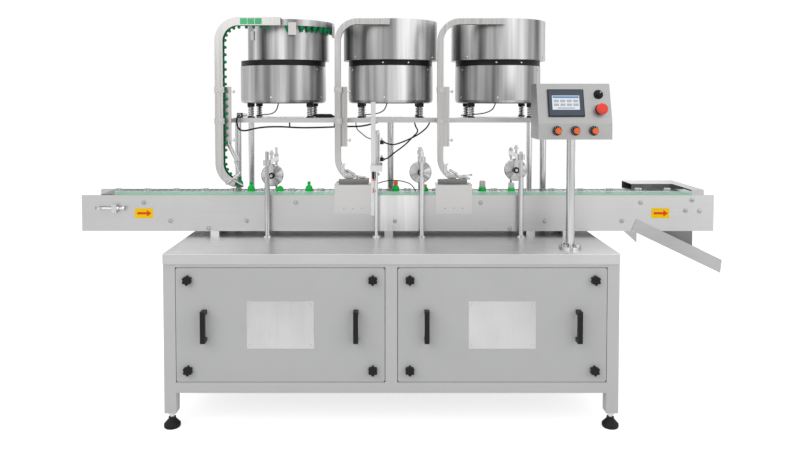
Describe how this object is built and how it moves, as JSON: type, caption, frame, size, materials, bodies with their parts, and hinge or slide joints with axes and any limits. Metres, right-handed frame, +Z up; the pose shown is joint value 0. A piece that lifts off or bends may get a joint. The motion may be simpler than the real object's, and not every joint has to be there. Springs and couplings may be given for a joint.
{
  "type": "capping machine",
  "caption": "Automatic cap-assembling machine: vibratory bowls feed caps down curved tracks onto a slat conveyor, where press wheels seat them, over a steel cabinet.",
  "frame": {"origin": "on the floor, under the centre of the whole machine", "axes": "+X along the conveyor towards the discharge, +Y away from the operator, +Z up"},
  "size_m": [2.543, 0.936, 1.4945],
  "materials": {
    "frame_steel": "satin powder coat",
    "sheet_steel": "satin",
    "bright_steel": "polished",
    "wheel_metal": "turned",
    "nest_plastic": "matte",
    "black_plastic": "matte",
    "foot_rubber": "matte",
    "red_plastic": "gloss",
    "orange_plastic": "gloss",
    "guide_acrylic": "clear green tint",
    "cable_black": "matte"
  },
  "bodies": {
    "machine": {"air_cylinder": "wheel_metal", "cabinet_frame": "frame_steel", "cabinet_sheets": "sheet_steel", "chain_nests": "nest_plastic", "control_box": "sheet_steel", "control_post": "bright_steel", "conveyor_crossmembers": "bright_steel", "conveyor_front_plate": "sheet_steel", "conveyor_rear_plate": "sheet_steel", "delivery_track_1": "bright_steel", "delivery_track_2": "bright_steel", "delivery_track_3": "bright_steel", "discharge_chute": "sheet_steel", "display_panel": "black_plastic", "drive_cover": "sheet_steel", "feeder_cables": "cable_black", "feeder_drums": "bright_steel", "feeder_shelf": "sheet_steel", "gear_motor": "wheel_metal", "guide_strip": "guide_acrylic", "isolator_springs": "bright_steel", "press_stands": "bright_steel", "shelf_posts": "bright_steel", "slat_chain": "bright_steel", "station_covers": "sheet_steel", "table_top": "sheet_steel"},
    "panel_left": {"front_panel_left": "sheet_steel"},
    "knob_1": {"panel_knob_1": "black_plastic"},
    "knob_2": {"panel_knob_2": "black_plastic"},
    "knob_3": {"panel_knob_3": "black_plastic"},
    "knob_4": {"panel_knob_4": "black_plastic"},
    "panel_right": {"front_panel_right": "sheet_steel"},
    "knob_5": {"panel_knob_5": "black_plastic"},
    "knob_6": {"panel_knob_6": "black_plastic"},
    "knob_7": {"panel_knob_7": "black_plastic"},
    "knob_8": {"panel_knob_8": "black_plastic"},
    "foot_1": {"levelling_foot_1": "foot_rubber"},
    "foot_2": {"levelling_foot_2": "foot_rubber"},
    "foot_3": {"levelling_foot_3": "foot_rubber"},
    "foot_4": {"levelling_foot_4": "foot_rubber"},
    "stop": {"stop_button": "red_plastic"},
    "selector": {"selector_switch": "black_plastic"},
    "speed_1": {"speed_knob_1": "orange_plastic"},
    "speed_2": {"speed_knob_2": "orange_plastic"},
    "speed_3": {"speed_knob_3": "orange_plastic"},
    "head_1": {"press_head_1": "bright_steel"},
    "wheel_1": {"press_wheel_1": "wheel_metal"},
    "head_2": {"press_head_2": "bright_steel"},
    "wheel_2": {"press_wheel_2": "wheel_metal"},
    "head_3": {"press_head_3": "bright_steel"},
    "wheel_3": {"press_wheel_3": "wheel_metal"},
    "piston": {"piston_rod": "bright_steel"},
    "bowl_1": {"feeder_bowl_1": "bright_steel"},
    "lever_1": {"release_lever_1": "bright_steel"},
    "bowl_2": {"feeder_bowl_2": "bright_steel"},
    "lever_2": {"release_lever_2": "bright_steel"},
    "bowl_3": {"feeder_bowl_3": "bright_steel"},
    "lever_3": {"release_lever_3": "bright_steel"},
    "drive": {"drive_shaft": "bright_steel"},
    "tail": {"tail_shaft": "bright_steel"}
  },
  "joints": [
    {"name": "panel_left_pull", "type": "slide", "parent": "machine", "child": "panel_left", "axis": [0, -1, 0], "range_m": [0, 0.15]},
    {"name": "knob_1_turn", "type": "hinge", "parent": "panel_left", "child": "knob_1", "pos_m": [-0.7585, -0.434, 0.531], "axis": [0, -1, 0], "continuous": true},
    {"name": "knob_2_turn", "type": "hinge", "parent": "panel_left", "child": "knob_2", "pos_m": [-0.1095, -0.434, 0.531], "axis": [0, -1, 0], "continuous": true},
    {"name": "knob_3_turn", "type": "hinge", "parent": "panel_left", "child": "knob_3", "pos_m": [-0.7585, -0.434, 0.211], "axis": [0, -1, 0], "continuous": true},
    {"name": "knob_4_turn", "type": "hinge", "parent": "panel_left", "child": "knob_4", "pos_m": [-0.1095, -0.434, 0.211], "axis": [0, -1, 0], "continuous": true},
    {"name": "panel_right_pull", "type": "slide", "parent": "machine", "child": "panel_right", "axis": [0, -1, 0], "range_m": [0, 0.15]},
    {"name": "knob_5_turn", "type": "hinge", "parent": "panel_right", "child": "knob_5", "pos_m": [0.0205, -0.434, 0.531], "axis": [0, -1, 0], "continuous": true},
    {"name": "knob_6_turn", "type": "hinge", "parent": "panel_right", "child": "knob_6", "pos_m": [0.6695, -0.434, 0.531], "axis": [0, -1, 0], "continuous": true},
    {"name": "knob_7_turn", "type": "hinge", "parent": "panel_right", "child": "knob_7", "pos_m": [0.0205, -0.434, 0.211], "axis": [0, -1, 0], "continuous": true},
    {"name": "knob_8_turn", "type": "hinge", "parent": "panel_right", "child": "knob_8", "pos_m": [0.6695, -0.434, 0.211], "axis": [0, -1, 0], "continuous": true},
    {"name": "foot_1_level", "type": "slide", "parent": "machine", "child": "foot_1", "axis": [0, 0, -1], "range_m": [0, 0.03]},
    {"name": "foot_2_level", "type": "slide", "parent": "machine", "child": "foot_2", "axis": [0, 0, -1], "range_m": [0, 0.03]},
    {"name": "foot_3_level", "type": "slide", "parent": "machine", "child": "foot_3", "axis": [0, 0, -1], "range_m": [0, 0.03]},
    {"name": "foot_4_level", "type": "slide", "parent": "machine", "child": "foot_4", "axis": [0, 0, -1], "range_m": [0, 0.03]},
    {"name": "stop_press", "type": "slide", "parent": "machine", "child": "stop", "axis": [0, 0.9602, -0.2792], "range_m": [0, 0.005], "stiffness_N_per_m": 400, "springref_m": -0.002},
    {"name": "selector_turn", "type": "hinge", "parent": "machine", "child": "selector", "pos_m": [0.6935, -0.36734, 1.18], "axis": [0, -0.9602, 0.2792], "range_deg": [-45, 45]},
    {"name": "speed_1_turn", "type": "hinge", "parent": "machine", "child": "speed_1", "pos_m": [0.5405, -0.397, 1.052], "axis": [0, -1, 0], "range_deg": [0, 270]},
    {"name": "speed_2_turn", "type": "hinge", "parent": "machine", "child": "speed_2", "pos_m": [0.6055, -0.397, 1.052], "axis": [0, -1, 0], "range_deg": [0, 270]},
    {"name": "speed_3_turn", "type": "hinge", "parent": "machine", "child": "speed_3", "pos_m": [0.6705, -0.397, 1.052], "axis": [0, -1, 0], "range_deg": [0, 270]},
    {"name": "head_1_height", "type": "slide", "parent": "machine", "child": "head_1", "axis": [0, 0, 1], "range_m": [-0.005, 0.006]},
    {"name": "wheel_1_spin", "type": "hinge", "parent": "head_1", "child": "wheel_1", "pos_m": [-0.5305, -0.009, 0.851], "axis": [0, 1, 0], "continuous": true},
    {"name": "head_2_height", "type": "slide", "parent": "machine", "child": "head_2", "axis": [0, 0, 1], "range_m": [-0.005, 0.006]},
    {"name": "wheel_2_spin", "type": "hinge", "parent": "head_2", "child": "wheel_2", "pos_m": [0.0765, -0.009, 0.8645], "axis": [0, 1, 0], "continuous": true},
    {"name": "head_3_height", "type": "slide", "parent": "machine", "child": "head_3", "axis": [0, 0, 1], "range_m": [-0.005, 0.006]},
    {"name": "wheel_3_spin", "type": "hinge", "parent": "head_3", "child": "wheel_3", "pos_m": [0.4655, -0.009, 0.8735], "axis": [0, 1, 0], "continuous": true},
    {"name": "piston_stroke", "type": "slide", "parent": "machine", "child": "piston", "axis": [0, 0, -1], "range_m": [0, 0.025], "stiffness_N_per_m": 120, "springref_m": -0.02},
    {"name": "bowl_1_vibrate", "type": "hinge", "parent": "machine", "child": "bowl_1", "pos_m": [-0.5155, 0.215, 1.327], "axis": [0, 0, 1], "range_deg": [-1.5, 1.5], "stiffness_Nm_per_rad": 2000},
    {"name": "bowl_2_vibrate", "type": "hinge", "parent": "machine", "child": "bowl_2", "pos_m": [-0.0455, 0.215, 1.327], "axis": [0, 0, 1], "range_deg": [-1.5, 1.5], "stiffness_Nm_per_rad": 2000},
    {"name": "bowl_3_vibrate", "type": "hinge", "parent": "machine", "child": "bowl_3", "pos_m": [0.4245, 0.215, 1.327], "axis": [0, 0, 1], "range_deg": [-1.5, 1.5], "stiffness_Nm_per_rad": 2000},
    {"name": "lever_1_release", "type": "hinge", "parent": "machine", "child": "lever_1", "pos_m": [-0.71538, -0.025, 0.83833], "axis": [0, -1, 0], "range_deg": [0, 35], "stiffness_Nm_per_rad": 1},
    {"name": "lever_2_release", "type": "hinge", "parent": "machine", "child": "lever_2", "pos_m": [-0.23338, -0.021, 0.85583], "axis": [0, -1, 0], "range_deg": [0, 35], "stiffness_Nm_per_rad": 1},
    {"name": "lever_3_release", "type": "hinge", "parent": "machine", "child": "lever_3", "pos_m": [0.18562, -0.021, 0.85583], "axis": [0, -1, 0], "range_deg": [0, 35], "stiffness_Nm_per_rad": 1},
    {"name": "drive_turn", "type": "hinge", "parent": "machine", "child": "drive", "pos_m": [1.14825, -0.009, 0.73072], "axis": [0, 1, 0], "continuous": true},
    {"name": "tail_turn", "type": "hinge", "parent": "machine", "child": "tail", "pos_m": [-1.19805, -0.009, 0.73072], "axis": [0, 1, 0], "continuous": true}
  ],
  "couplings": [
    {"joint": "tail_turn", "follows": "drive_turn", "ratio": 1}
  ]
}
